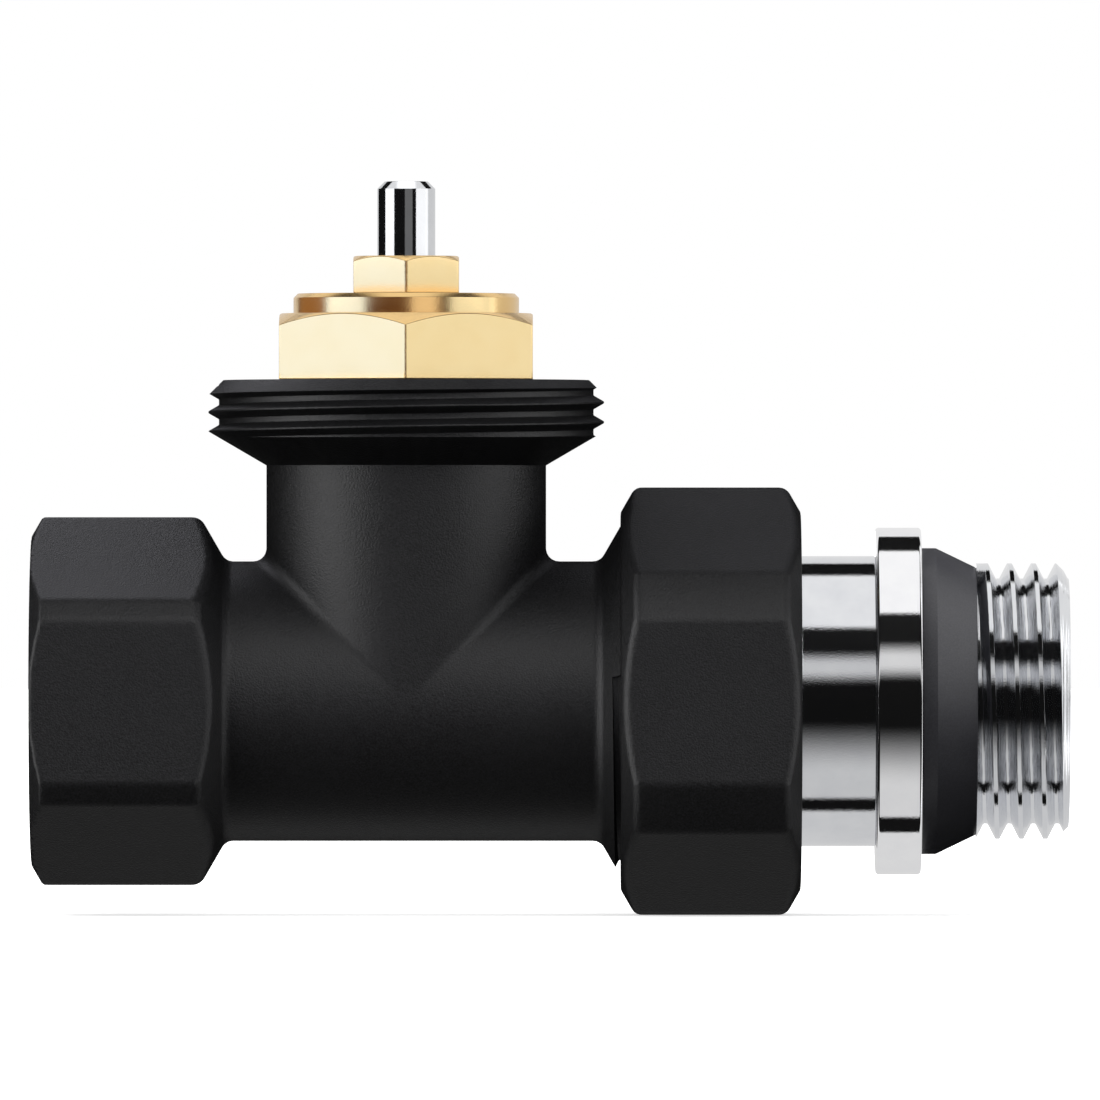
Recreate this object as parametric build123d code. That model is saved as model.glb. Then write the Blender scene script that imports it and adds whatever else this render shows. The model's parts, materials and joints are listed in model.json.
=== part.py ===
from build123d import *

import os
from math import radians, tan

# Straight thermostatic radiator valve. All sizes are in millimetres.
# The origin is the centre of the inlet face. +X follows the run towards the radiator, and +Z
# follows the valve insert and its push pin. Threads are plain cylinders at their crest
# diameter, or at their minor diameter where they are female.

# ---- Driving dimensions of the body ----
RUN_RADIUS = 10.6             # barrel of the run and of the branch
HEAD_X = 28.4                 # insert axis, from the inlet face
ROOT_FILLET = 1.1             # where a cone meets the barrel
CONE_ANGLE = 60.0             # slope of the hexagon's back and of the outlet flare
CHAMFER_ANGLE = 30.0          # turned chamfer on every hexagon

INLET_FLATS = 25.0            # hexagon across flats
INLET_CORNER_RADIUS = 13.95   # corners are turned down to this
INLET_FACE_RADIUS = 12.47     # end face, inside the turned chamfer
INLET_HEX_LENGTH = 12.8
INLET_THREAD_RADIUS = 9.316   # minor radius of the Rp 1/2 female thread
INLET_THREAD_DEPTH = 13.0
INLET_LEAD_IN = 1.1

COLLAR_BASE_Z = 17.87         # the branch widens into the head collar here
COLLAR_CONE_RISE = 2.57
HEAD_THREAD_RADIUS = 15.0     # M30 x 1.5 for the thermostatic head
HEAD_THREAD_TOP = 23.28
COLLAR_TOP_Z = 24.34
COLLAR_TOP_RADIUS = 13.87

FLARE_START_X = 43.1          # run barrel widens to the union thread
FLARE_END_X = 44.6
UNION_THREAD_RADIUS = 13.22   # G 3/4
UNION_THREAD_END_X = 54.9
UNION_THREAD_CHAMFER = 1.1

# ---- Waterways inside the body ----
PASSAGE_RADIUS = 8.0
INLET_PASSAGE_END_X = 18.4    # full round passage, then only under the web
LOWER_CHAMBER_END_X = 35.0
WEB_BOTTOM_Z = -1.0
WEB_TOP_Z = 0.5
OUTLET_PASSAGE_X = 38.4
SEAT_RADIUS = 5.0
SEAT_LIP_RADIUS = 5.9
SEAT_Z = 1.5
BRANCH_BORE_RADIUS = 8.0
INSERT_THREAD_RADIUS = 9.0    # M18 x 1 in the branch
INSERT_THREAD_BOTTOM_Z = 16.8
NOSE_BORE_RADIUS = 10.6
NOSE_BORE_X = 51.6

# ---- Valve insert ----
HOUSING_FLATS = 19.2
HOUSING_HEX_TOP = 29.4
HOUSING_FACE_RADIUS = 9.45
FLANGE_RADIUS = 8.55
FLANGE_TOP = 30.9
FLANGE_CHAMFER = 0.33
HOUSING_BOTTOM = 10.4
HOUSING_SKIRT_RADIUS = 7.9
SPRING_CHAMBER_RADIUS = 4.6
SPRING_CHAMBER_TOP = 24.4
GUIDE_TOP = 12.4
INSERT_GROOVE = (12.4, 14.2)  # from z to z
INSERT_GROOVE_RADIUS = 6.5

GLAND_FLATS = 8.0
GLAND_TOP = 33.75
GLAND_FACE_RADIUS = 3.9
GLAND_SHANK_RADIUS = 3.5
GLAND_BOTTOM = 27.4
GLAND_GROOVE = (29.4, 30.3)
GLAND_GROOVE_RADIUS = 2.95
STEM_WASHER_BOTTOM = 25.6

PIN_RADIUS = 2.2
PIN_TOP = 39.4
PIN_CHAMFER = 0.56
PIN_BOTTOM = 24.9
RUNNING_GAP = 0.05            # radial clearance of the pin and the spindle
STEM_SEAL_BOTTOM = GLAND_BOTTOM - (GLAND_SHANK_RADIUS - PIN_RADIUS - RUNNING_GAP)

SPINDLE_RADIUS = 1.5
SPINDLE_TIP_RADIUS = 1.25
SPINDLE_TIP_Z = 1.6
CLIP = (23.7, 24.3)
CLIP_GROOVE_RADIUS = 1.1
CLIP_RADIUS = 2.7
PLATE_RADIUS = 4.3
PLATE_BOTTOM = 22.9
SPRING_WIRE_RADIUS = 0.4
SPRING_MEAN_RADIUS = 3.6
SPRING_TURNS = 7

# ---- Valve disc: 3.0 mm of travel, and a little left over for the rubber ----
TRAVEL = 3.0
DISC_SEAL_BOTTOM = SEAT_Z + TRAVEL + 0.05
DISC_SEAL_THICKNESS = 2.0
DISC_SEAL_RADIUS = 6.3
DISC_CUP_RADIUS = 7.0
DISC_CUP_DEPTH = 1.2
DISC_CUP_FLOOR = 1.5
DISC_WASHER_RADIUS = 3.4
DISC_WASHER_THICKNESS = 0.5
DISC_NUT_FLATS = 5.0
DISC_NUT_HEIGHT = 2.0

# ---- Outlet union ----
NUT_FLATS = 29.9
NUT_CORNER_RADIUS = 16.2
NUT_START_X = 44.65
NUT_END_X = 58.3
NUT_FACE_RADIUS = 14.3
NUT_BORE_RADIUS = 13.32
NUT_WALL_X = 56.3             # inner face of the nut's end wall
NUT_NECK_RADIUS = 11.1

NOSE_RADIUS = 10.45
NOSE_START_X = 51.9
NOSE_GROOVE = (52.7, 54.2)
NOSE_GROOVE_RADIUS = 9.15
NOSE_RING_SECTION = 0.7
TAIL_FLANGE_RADIUS = 11.95
TUBE_RADIUS = 11.0
TUBE_END_X = 63.95
RING_SEAT_RADIUS = 10.5
RING_RADIUS = 13.15
RING_END_X = 67.4
SEAL_RADIUS = 11.6
SEAL_CONE_X = 68.54
SEAL_END_X = 71.58
SEAL_TIP_RADIUS = 10.13
TAIL_NECK_RADIUS = 9.1
TAIL_THREAD_RADIUS = 10.45    # G 1/2, to the radiator
TAIL_THREAD_END_X = 77.7
TAIL_END_X = 78.6
TAIL_BORE_RADIUS = 6.6
TAIL_KEY_FLATS = 14.0         # hexagon recess for the fitting key
TAIL_KEY_END_X = 60.0


def turned_on_run(*outline):
    """A solid turned about the run axis, from (x, radius) corners."""
    return revolve(make_face(Polyline(*outline, close=True)), Axis.X)


def turned_on_stem(*outline):
    """A solid turned about the insert axis, from (radius, z) corners."""
    profile = Plane.XZ * make_face(Polyline(*outline, close=True))
    return Pos(HEAD_X, 0, 0) * revolve(profile, Axis.Z)


def ring_on_run(inner, outer, start, end):
    return turned_on_run((start, inner), (end, inner), (end, outer), (start, outer))


def ring_on_stem(inner, outer, low, high):
    return turned_on_stem((inner, low), (outer, low), (outer, high), (inner, high))


def hexagon_on_run(flats, start, end):
    """A hexagonal bar along the run with its corners up and down."""
    face = Plane.YZ * RegularPolygon(flats / 2, 6, major_radius=False, rotation=30)
    return Pos(start, 0, 0) * extrude(face, end - start)


def hexagon_on_stem(flats, low, high):
    """A hexagonal bar along the insert axis with corners towards -Y and +Y."""
    face = RegularPolygon(flats / 2, 6, major_radius=False, rotation=30)
    return Pos(HEAD_X, 0, low) * extrude(face, high - low)


def o_ring_on_stem(inner, outer, low, high):
    """An O-ring that just touches its groove's floor and its bore."""
    section = (outer - inner) / 2
    return Pos(HEAD_X, 0, (low + high) / 2) * Torus(inner + section, section)


def chamfered_hexagon_on_stem(flats, face_radius, low, high):
    """A hexagon whose top corners are turned off at the chamfer angle."""
    wide = 0.6 * flats
    drop = (wide - face_radius) * tan(radians(CHAMFER_ANGLE))
    turned = turned_on_stem((0, low), (wide, low), (wide, high - drop), (face_radius, high), (0, high))
    return hexagon_on_stem(flats, low, high) & turned


def cone_run(rise):
    """Length along the axis of a body cone that climbs by rise."""
    return rise / tan(radians(CONE_ANGLE))


# ---- Body ----

def inlet_hexagon():
    chamfer = (INLET_CORNER_RADIUS - INLET_FACE_RADIUS) * tan(radians(CHAMFER_ANGLE))
    back = INLET_HEX_LENGTH + cone_run(INLET_CORNER_RADIUS - RUN_RADIUS)
    turned = turned_on_run(
        (0, 0),
        (0, INLET_FACE_RADIUS),
        (chamfer, INLET_CORNER_RADIUS),
        (INLET_HEX_LENGTH, INLET_CORNER_RADIUS),
        (back, RUN_RADIUS),
        (back, 0),
    )
    return hexagon_on_run(INLET_FLATS, 0, back) & turned


def run_barrel():
    """Barrel from inside the hexagon to the outlet flare, with a fillet at each cone."""
    inlet_root = INLET_HEX_LENGTH + cone_run(INLET_CORNER_RADIUS - RUN_RADIUS)
    shoulder = inlet_root - cone_run(1.6)
    profile = make_face(
        Polyline(
            (shoulder - 2, 0),
            (shoulder - 2, RUN_RADIUS),
            (shoulder, RUN_RADIUS + 1.6),
            (inlet_root, RUN_RADIUS),
            (FLARE_START_X, RUN_RADIUS),
            (FLARE_END_X, UNION_THREAD_RADIUS),
            (FLARE_END_X, 0),
            close=True,
        )
    )
    roots = [v for v in profile.vertices() if abs(v.Y - RUN_RADIUS) < 0.01 and v.X > shoulder]
    return revolve(fillet(roots, ROOT_FILLET), Axis.X)


def head_collar():
    return turned_on_stem(
        (0, 0),
        (RUN_RADIUS, 0),
        (RUN_RADIUS, COLLAR_BASE_Z),
        (HEAD_THREAD_RADIUS, COLLAR_BASE_Z + COLLAR_CONE_RISE),
        (HEAD_THREAD_RADIUS, HEAD_THREAD_TOP),
        (COLLAR_TOP_RADIUS, COLLAR_TOP_Z),
        (0, COLLAR_TOP_Z),
    )


def union_boss():
    chamfer_x = UNION_THREAD_END_X - UNION_THREAD_CHAMFER
    return turned_on_run(
        (FLARE_END_X, 0),
        (FLARE_END_X, UNION_THREAD_RADIUS),
        (chamfer_x, UNION_THREAD_RADIUS),
        (UNION_THREAD_END_X, UNION_THREAD_RADIUS - UNION_THREAD_CHAMFER),
        (UNION_THREAD_END_X, 0),
    )


def slab(start, end, low, high):
    """A block across the run, used to keep one half of a passage."""
    size = 2 * PASSAGE_RADIUS
    block = Box(end - start, size, high - low)
    return Pos((start + end) / 2, 0, (low + high) / 2) * block


def waterways():
    """Inlet passage under the web, seat orifice, and outlet passage over the web."""
    mouth = turned_on_run(
        (0, 0),
        (0, INLET_THREAD_RADIUS + INLET_LEAD_IN),
        (INLET_LEAD_IN, INLET_THREAD_RADIUS),
        (INLET_THREAD_DEPTH, INLET_THREAD_RADIUS),
        (INLET_THREAD_DEPTH + 0.8, PASSAGE_RADIUS),
        (INLET_PASSAGE_END_X, PASSAGE_RADIUS),
        (INLET_PASSAGE_END_X, 0),
    )
    lower = ring_on_run(0, PASSAGE_RADIUS, INLET_PASSAGE_END_X - 1, LOWER_CHAMBER_END_X)
    lower &= slab(INLET_PASSAGE_END_X - 1, LOWER_CHAMBER_END_X, -PASSAGE_RADIUS, WEB_BOTTOM_Z)
    upper = ring_on_run(0, PASSAGE_RADIUS, HEAD_X, OUTLET_PASSAGE_X + 1)
    upper &= slab(HEAD_X, OUTLET_PASSAGE_X + 1, WEB_TOP_Z, PASSAGE_RADIUS)
    outlet = turned_on_run(
        (OUTLET_PASSAGE_X, 0),
        (OUTLET_PASSAGE_X, PASSAGE_RADIUS),
        (NOSE_BORE_X, PASSAGE_RADIUS),
        (NOSE_BORE_X, NOSE_BORE_RADIUS),
        (UNION_THREAD_END_X, NOSE_BORE_RADIUS),
        (UNION_THREAD_END_X, 0),
    )
    branch = turned_on_stem(
        (0, WEB_TOP_Z),
        (BRANCH_BORE_RADIUS, WEB_TOP_Z),
        (BRANCH_BORE_RADIUS, INSERT_THREAD_BOTTOM_Z - 1),
        (INSERT_THREAD_RADIUS, INSERT_THREAD_BOTTOM_Z),
        (INSERT_THREAD_RADIUS, COLLAR_TOP_Z),
        (0, COLLAR_TOP_Z),
    )
    orifice = ring_on_stem(0, SEAT_RADIUS, WEB_BOTTOM_Z - 1, WEB_TOP_Z + 1)
    return mouth + lower + upper + outlet + branch + orifice


def valve_body():
    outside = inlet_hexagon() + run_barrel() + head_collar() + union_boss()
    seat_lip = ring_on_stem(SEAT_RADIUS, SEAT_LIP_RADIUS, WEB_BOTTOM_Z + 0.5, SEAT_Z)
    return outside - waterways() + seat_lip


# ---- Valve insert ----

def insert_housing():
    hexagon = chamfered_hexagon_on_stem(HOUSING_FLATS, HOUSING_FACE_RADIUS, COLLAR_TOP_Z, HOUSING_HEX_TOP)
    turned = turned_on_stem(
        (0, HOUSING_BOTTOM),
        (HOUSING_SKIRT_RADIUS, HOUSING_BOTTOM),
        (HOUSING_SKIRT_RADIUS, INSERT_THREAD_BOTTOM_Z),
        (INSERT_THREAD_RADIUS, INSERT_THREAD_BOTTOM_Z + 0.8),
        (INSERT_THREAD_RADIUS, COLLAR_TOP_Z),
        (FLANGE_RADIUS, COLLAR_TOP_Z),
        (FLANGE_RADIUS, FLANGE_TOP - FLANGE_CHAMFER),
        (FLANGE_RADIUS - FLANGE_CHAMFER, FLANGE_TOP),
        (0, FLANGE_TOP),
    )
    bore = turned_on_stem(
        (0, HOUSING_BOTTOM),
        (SPRING_CHAMBER_RADIUS, HOUSING_BOTTOM),
        (SPRING_CHAMBER_RADIUS, SPRING_CHAMBER_TOP),
        (PIN_RADIUS + RUNNING_GAP, SPRING_CHAMBER_TOP),
        (PIN_RADIUS + RUNNING_GAP, STEM_WASHER_BOTTOM),
        (GLAND_SHANK_RADIUS, STEM_WASHER_BOTTOM),
        (GLAND_SHANK_RADIUS, FLANGE_TOP),
        (0, FLANGE_TOP),
    )
    groove = ring_on_stem(INSERT_GROOVE_RADIUS, BRANCH_BORE_RADIUS, *INSERT_GROOVE)
    return hexagon + turned - bore - groove


def insert_o_ring():
    return o_ring_on_stem(INSERT_GROOVE_RADIUS, BRANCH_BORE_RADIUS, *INSERT_GROOVE)


def gland_nut():
    hexagon = chamfered_hexagon_on_stem(GLAND_FLATS, GLAND_FACE_RADIUS, FLANGE_TOP, GLAND_TOP)
    shank = ring_on_stem(0, GLAND_SHANK_RADIUS, GLAND_BOTTOM, FLANGE_TOP)
    groove = ring_on_stem(GLAND_GROOVE_RADIUS, GLAND_SHANK_RADIUS, *GLAND_GROOVE)
    bore = ring_on_stem(0, PIN_RADIUS + RUNNING_GAP, GLAND_BOTTOM, GLAND_TOP)
    return hexagon + shank - groove - bore


def gland_o_ring():
    return o_ring_on_stem(GLAND_GROOVE_RADIUS, GLAND_SHANK_RADIUS, *GLAND_GROOVE)


def stem_o_ring():
    return o_ring_on_stem(PIN_RADIUS + RUNNING_GAP, GLAND_SHANK_RADIUS, STEM_SEAL_BOTTOM, GLAND_BOTTOM)


def stem_washer():
    return ring_on_stem(PIN_RADIUS + RUNNING_GAP, GLAND_SHANK_RADIUS, STEM_WASHER_BOTTOM, STEM_SEAL_BOTTOM)


def lower_guide():
    inner = SPINDLE_RADIUS + RUNNING_GAP
    return ring_on_stem(inner, SPRING_CHAMBER_RADIUS, HOUSING_BOTTOM, GUIDE_TOP)


# ---- Pieces that move with the push pin ----

def push_pin():
    return turned_on_stem(
        (0, PIN_BOTTOM),
        (PIN_RADIUS, PIN_BOTTOM),
        (PIN_RADIUS, PIN_TOP - PIN_CHAMFER),
        (PIN_RADIUS - PIN_CHAMFER, PIN_TOP),
        (0, PIN_TOP),
    )


def spindle():
    shoulder = DISC_SEAL_BOTTOM + DISC_SEAL_THICKNESS + DISC_CUP_FLOOR
    rod = ring_on_stem(0, SPINDLE_RADIUS, shoulder, PIN_BOTTOM)
    tip = ring_on_stem(0, SPINDLE_TIP_RADIUS, SPINDLE_TIP_Z, shoulder)
    return rod + tip - ring_on_stem(CLIP_GROOVE_RADIUS, SPINDLE_RADIUS, *CLIP)


def spring_plate():
    return ring_on_stem(SPINDLE_RADIUS, PLATE_RADIUS, PLATE_BOTTOM, CLIP[0])


def spring_clip():
    """Open ring that snaps into the spindle's groove from one side."""
    ring = ring_on_stem(CLIP_GROOVE_RADIUS, CLIP_RADIUS, *CLIP)
    mouth = Box(CLIP_RADIUS, 1.6 * CLIP_GROOVE_RADIUS, CLIP[1] - CLIP[0])
    return ring - Pos(HEAD_X + CLIP_RADIUS / 2, 0, (CLIP[0] + CLIP[1]) / 2) * mouth


def return_spring():
    """Round-wire spring that fills the space between the guide and the spring plate."""
    height = PLATE_BOTTOM - GUIDE_TOP - 2 * SPRING_WIRE_RADIUS
    coil = Helix(height / SPRING_TURNS, height, SPRING_MEAN_RADIUS)
    start = Plane(origin=coil @ 0, z_dir=coil % 0)
    wire = sweep(start * Circle(SPRING_WIRE_RADIUS), coil, is_frenet=True)
    return Pos(HEAD_X, 0, GUIDE_TOP + SPRING_WIRE_RADIUS) * wire


def disc_seal():
    top = DISC_SEAL_BOTTOM + DISC_SEAL_THICKNESS
    return ring_on_stem(SPINDLE_TIP_RADIUS, DISC_SEAL_RADIUS, DISC_SEAL_BOTTOM, top)


def disc_plate():
    floor = DISC_SEAL_BOTTOM + DISC_SEAL_THICKNESS
    cup = ring_on_stem(SPINDLE_TIP_RADIUS, DISC_CUP_RADIUS, floor - DISC_CUP_DEPTH, floor + DISC_CUP_FLOOR)
    return cup - ring_on_stem(0, DISC_SEAL_RADIUS, floor - DISC_CUP_DEPTH, floor)


def disc_washer():
    low = DISC_SEAL_BOTTOM - DISC_WASHER_THICKNESS
    return ring_on_stem(SPINDLE_TIP_RADIUS, DISC_WASHER_RADIUS, low, DISC_SEAL_BOTTOM)


def disc_nut():
    high = DISC_SEAL_BOTTOM - DISC_WASHER_THICKNESS
    low = high - DISC_NUT_HEIGHT
    return hexagon_on_stem(DISC_NUT_FLATS, low, high) - ring_on_stem(0, SPINDLE_TIP_RADIUS, low, high)


# ---- Outlet union ----

def union_nut():
    chamfer = (NUT_CORNER_RADIUS - NUT_FACE_RADIUS) * tan(radians(CHAMFER_ANGLE))
    turned = turned_on_run(
        (NUT_START_X, 0),
        (NUT_START_X, NUT_FACE_RADIUS),
        (NUT_START_X + chamfer, NUT_CORNER_RADIUS),
        (NUT_END_X - chamfer, NUT_CORNER_RADIUS),
        (NUT_END_X, NUT_FACE_RADIUS),
        (NUT_END_X, 0),
    )
    bore = turned_on_run(
        (NUT_START_X, 0),
        (NUT_START_X, NUT_BORE_RADIUS),
        (NUT_WALL_X, NUT_BORE_RADIUS),
        (NUT_WALL_X, NUT_NECK_RADIUS),
        (NUT_END_X, NUT_NECK_RADIUS),
        (NUT_END_X, 0),
    )
    return (hexagon_on_run(NUT_FLATS, NUT_START_X, NUT_END_X) & turned) - bore


def tailpiece():
    outside = turned_on_run(
        (NOSE_START_X, 0),
        (NOSE_START_X, NOSE_RADIUS - 0.5),
        (NOSE_START_X + 0.5, NOSE_RADIUS),
        (UNION_THREAD_END_X, NOSE_RADIUS),
        (UNION_THREAD_END_X, TAIL_FLANGE_RADIUS),
        (NUT_WALL_X, TAIL_FLANGE_RADIUS),
        (NUT_WALL_X, TUBE_RADIUS),
        (TUBE_END_X, TUBE_RADIUS),
        (TUBE_END_X, RING_SEAT_RADIUS),
        (RING_END_X, RING_SEAT_RADIUS),
        (RING_END_X, TAIL_NECK_RADIUS),
        (SEAL_END_X, TAIL_NECK_RADIUS),
        (SEAL_END_X, TAIL_THREAD_RADIUS),
        (TAIL_THREAD_END_X, TAIL_THREAD_RADIUS),
        (TAIL_END_X, TAIL_THREAD_RADIUS - (TAIL_END_X - TAIL_THREAD_END_X)),
        (TAIL_END_X, 0),
    )
    bore = ring_on_run(0, TAIL_BORE_RADIUS, NOSE_START_X, TAIL_END_X)
    key = hexagon_on_run(TAIL_KEY_FLATS, NOSE_START_X, TAIL_KEY_END_X)
    groove = ring_on_run(NOSE_GROOVE_RADIUS, NOSE_RADIUS, *NOSE_GROOVE)
    return outside - bore - key - groove


def nose_o_ring():
    middle = Pos((NOSE_GROOVE[0] + NOSE_GROOVE[1]) / 2, 0, 0)
    ring = Torus(NOSE_GROOVE_RADIUS + NOSE_RING_SECTION, NOSE_RING_SECTION)
    return middle * Rot(0, 90, 0) * ring


def stop_ring():
    return ring_on_run(RING_SEAT_RADIUS, RING_RADIUS, TUBE_END_X, RING_END_X)


def cone_seal():
    return turned_on_run(
        (RING_END_X, TAIL_NECK_RADIUS),
        (RING_END_X, SEAL_RADIUS),
        (SEAL_CONE_X, SEAL_RADIUS),
        (SEAL_END_X, SEAL_TIP_RADIUS),
        (SEAL_END_X, TAIL_NECK_RADIUS),
    )


PIECES = (
    valve_body,
    insert_housing,
    insert_o_ring,
    gland_nut,
    gland_o_ring,
    stem_o_ring,
    stem_washer,
    lower_guide,
    push_pin,
    spindle,
    spring_plate,
    spring_clip,
    return_spring,
    disc_plate,
    disc_seal,
    disc_washer,
    disc_nut,
    union_nut,
    tailpiece,
    nose_o_ring,
    stop_ring,
    cone_seal,
)

os.makedirs("parts", exist_ok=True)
for piece in PIECES:
    export_step(piece(), f"parts/{piece.__name__}.step")
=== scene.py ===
import json
from math import atan2, ceil, cos, pi, radians, sin, sqrt, tan

import bmesh
import bpy
import numpy as np
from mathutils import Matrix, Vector

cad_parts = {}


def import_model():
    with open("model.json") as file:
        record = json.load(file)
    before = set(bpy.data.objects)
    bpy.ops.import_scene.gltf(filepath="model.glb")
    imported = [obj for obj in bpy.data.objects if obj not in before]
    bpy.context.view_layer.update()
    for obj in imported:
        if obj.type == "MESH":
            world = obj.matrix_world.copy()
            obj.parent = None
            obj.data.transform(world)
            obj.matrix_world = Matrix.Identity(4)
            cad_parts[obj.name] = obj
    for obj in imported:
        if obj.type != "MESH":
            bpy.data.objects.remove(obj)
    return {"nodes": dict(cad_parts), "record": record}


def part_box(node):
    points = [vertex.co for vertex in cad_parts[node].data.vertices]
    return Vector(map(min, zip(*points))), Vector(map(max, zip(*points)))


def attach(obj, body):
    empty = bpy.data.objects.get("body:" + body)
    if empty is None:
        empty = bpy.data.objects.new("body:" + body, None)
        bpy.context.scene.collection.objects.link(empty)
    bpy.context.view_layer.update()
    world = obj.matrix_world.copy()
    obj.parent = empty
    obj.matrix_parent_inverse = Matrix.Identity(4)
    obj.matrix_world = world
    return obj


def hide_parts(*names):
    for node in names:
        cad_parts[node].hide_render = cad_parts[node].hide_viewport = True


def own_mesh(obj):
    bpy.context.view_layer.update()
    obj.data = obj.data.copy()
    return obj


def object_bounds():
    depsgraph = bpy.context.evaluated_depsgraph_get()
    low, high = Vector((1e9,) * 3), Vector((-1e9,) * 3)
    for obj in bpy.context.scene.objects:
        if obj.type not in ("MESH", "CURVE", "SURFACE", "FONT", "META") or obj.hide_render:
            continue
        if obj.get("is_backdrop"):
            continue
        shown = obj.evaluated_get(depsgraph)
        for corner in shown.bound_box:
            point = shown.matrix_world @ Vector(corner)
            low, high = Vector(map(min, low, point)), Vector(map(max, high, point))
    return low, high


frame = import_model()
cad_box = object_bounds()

# Straight thermostatic radiator valve. Meshes are worked out in millimetres and written in
# metres. X follows the run towards the radiator, Z follows the insert and its push pin.
MM = 0.001
TURN = 256                    # facets round a turned piece
BODY_CELL = 0.31              # mesh size of the forged skins
NUT_CELL = 0.24


def corners(node):
    """Lowest and highest corner of a CAD node in millimetres."""
    low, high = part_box(node)
    return np.array(low) / MM, np.array(high) / MM


# ---- Places and sizes read from the frame ----
BODY_LOW, BODY_HIGH = corners("valve_body")
NUT_LOW, NUT_HIGH = corners("union_nut")
HOUSING_LOW, HOUSING_HIGH = corners("insert_housing")
GLAND_LOW, GLAND_HIGH = corners("gland_nut")
PIN_LOW, PIN_HIGH = corners("push_pin")
TAIL_LOW, TAIL_HIGH = corners("tailpiece")
RING_LOW, RING_HIGH = corners("stop_ring")
SEAL_LOW, SEAL_HIGH = corners("cone_seal")

HEAD_X = (PIN_LOW[0] + PIN_HIGH[0]) / 2
INLET_X = BODY_LOW[0]
BOSS_END_X = BODY_HIGH[0]
COLLAR_TOP = BODY_HIGH[2]
HEAD_THREAD_RADIUS = BODY_HIGH[1]
INLET_CORNER_RADIUS = -BODY_LOW[2]
NUT_CORNER_RADIUS = NUT_HIGH[2]
NUT_FLATS = 2 * NUT_HIGH[1]
HOUSING_FLATS = HOUSING_HIGH[0] - HOUSING_LOW[0]
GLAND_FLATS = GLAND_HIGH[0] - GLAND_LOW[0]
PIN_RADIUS = PIN_HIGH[1]
RING_RADIUS = RING_HIGH[2]
SEAL_RADIUS = SEAL_HIGH[2]

# ---- Sizes inside those boxes, in millimetres ----
CHAMFER = radians(30)         # turned chamfer on every hexagon
CONE = radians(60)            # back of the inlet hexagon and outlet flare
METRIC_FLANK = radians(30)
PIPE_FLANK = radians(27.5)
PIPE_PITCH = 1.814            # of G 1/2, Rp 1/2 and G 3/4

# Valve body
RUN_RADIUS = 10.6
TEE_FILLET = 1.0
ROOT_FILLET = 0.9
INLET_FLATS = 25.0
INLET_FACE_RADIUS = 12.47
INLET_HEX_LENGTH = 12.8
INLET_THREAD = (9.316, 10.478)   # minor and major radius of Rp 1/2
INLET_THREAD_DEPTH = 13.0
COLLAR_BASE = 17.87
COLLAR_CONE_TOP = 20.44
COLLAR_TOP_RADIUS = 13.87
COLLAR_BORE_RADIUS = 9.05
HEAD_PITCH = 1.5
HEAD_ROOT_RADIUS = 14.2
HEAD_CREST_Z = 21.15          # a crest of the head thread on the outlet's side
FLARE_START_X = 43.1
FLARE_END_X = 44.6
UNION_THREAD = (12.06, 13.22)    # root and crest radius of G 3/4
UNION_START_X = 44.22         # where the union thread's first root starts
BOSS_BORE_RADIUS = 8.3
NOSE_BORE = (51.6, 10.6)      # x where it starts, radius
PASSAGE_RADIUS = 8.0
INLET_PASSAGE = (13.2, 18.4)  # where each passage starts and ends along the run
LOWER_PASSAGE = (16.5, 35)
UPPER_PASSAGE = (HEAD_X + 6.4, 39.5)
OUTLET_PASSAGE_X = 38.4
SEAT = (5.0, 5.9, 1.5)        # orifice radius, lip radius, lip height
WEB = (-1.0, 0.5)             # underside and top of the wall that carries the seat
BRANCH_BORE = (15.8, 16.8, 9.0)  # where it widens from and to, radius
SKIM = 0.01                   # keeps the faces of cutters from coinciding

# Insert and gland nut
HOUSING_HEX_TOP = 29.4
HOUSING_FACE_RADIUS = 9.45
HOUSING_LOWER_RADIUS = 7.9
HOUSING_UPPER_RADIUS = 8.96
HOUSING_FLANGE_RADIUS = 8.55
SPRING_BORE = (24.4, 4.6)     # z where it ends, radius
SPINDLE_BORE_RADIUS = 2.25
GLAND_BORE = (25.6, 3.5)      # z where it starts, radius
INSERT_GROOVE = (12.4, 14.2, 6.5)    # O-ring grooves: start, end, radius
GLAND_GROOVE = (29.4, 30.3, 2.95)
GLAND_SHANK_RADIUS = 3.45
GLAND_FACE_RADIUS = 3.87
PIN_CHAMFER = 0.56
SPRING_WIRE_RADIUS = 0.4
SPRING_TURNS = 7

# Union nut, tail, ring and seal
NUT_WALL_X = 56.3
NUT_FACE_RADIUS = 14.3
NUT_NECK_RADIUS = 11.1
NOSE_RADIUS = 10.45
NOSE_GROOVE = (52.7, 54.2, 9.15)
TUBE_RADIUS = 11.0
RING_SEAT_RADIUS = 10.5
SEAL_SEAT_RADIUS = 9.1
SEAL_TIP_RADIUS = 10.13
TAIL_THREAD = (9.3, 10.45)
TAIL_CREST_X = 71.86          # a crest of the tail's thread at the back
TAIL_BEVEL = 0.93
TAIL_BORE_RADIUS = 6.6
TAIL_KEY = (14.0, 60.0)       # flats, and x where the key hexagon ends


# ---- Outlines ----

NEARLY_STRAIGHT = 1.55        # half the angle at a corner, above which it needs no arc


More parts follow.
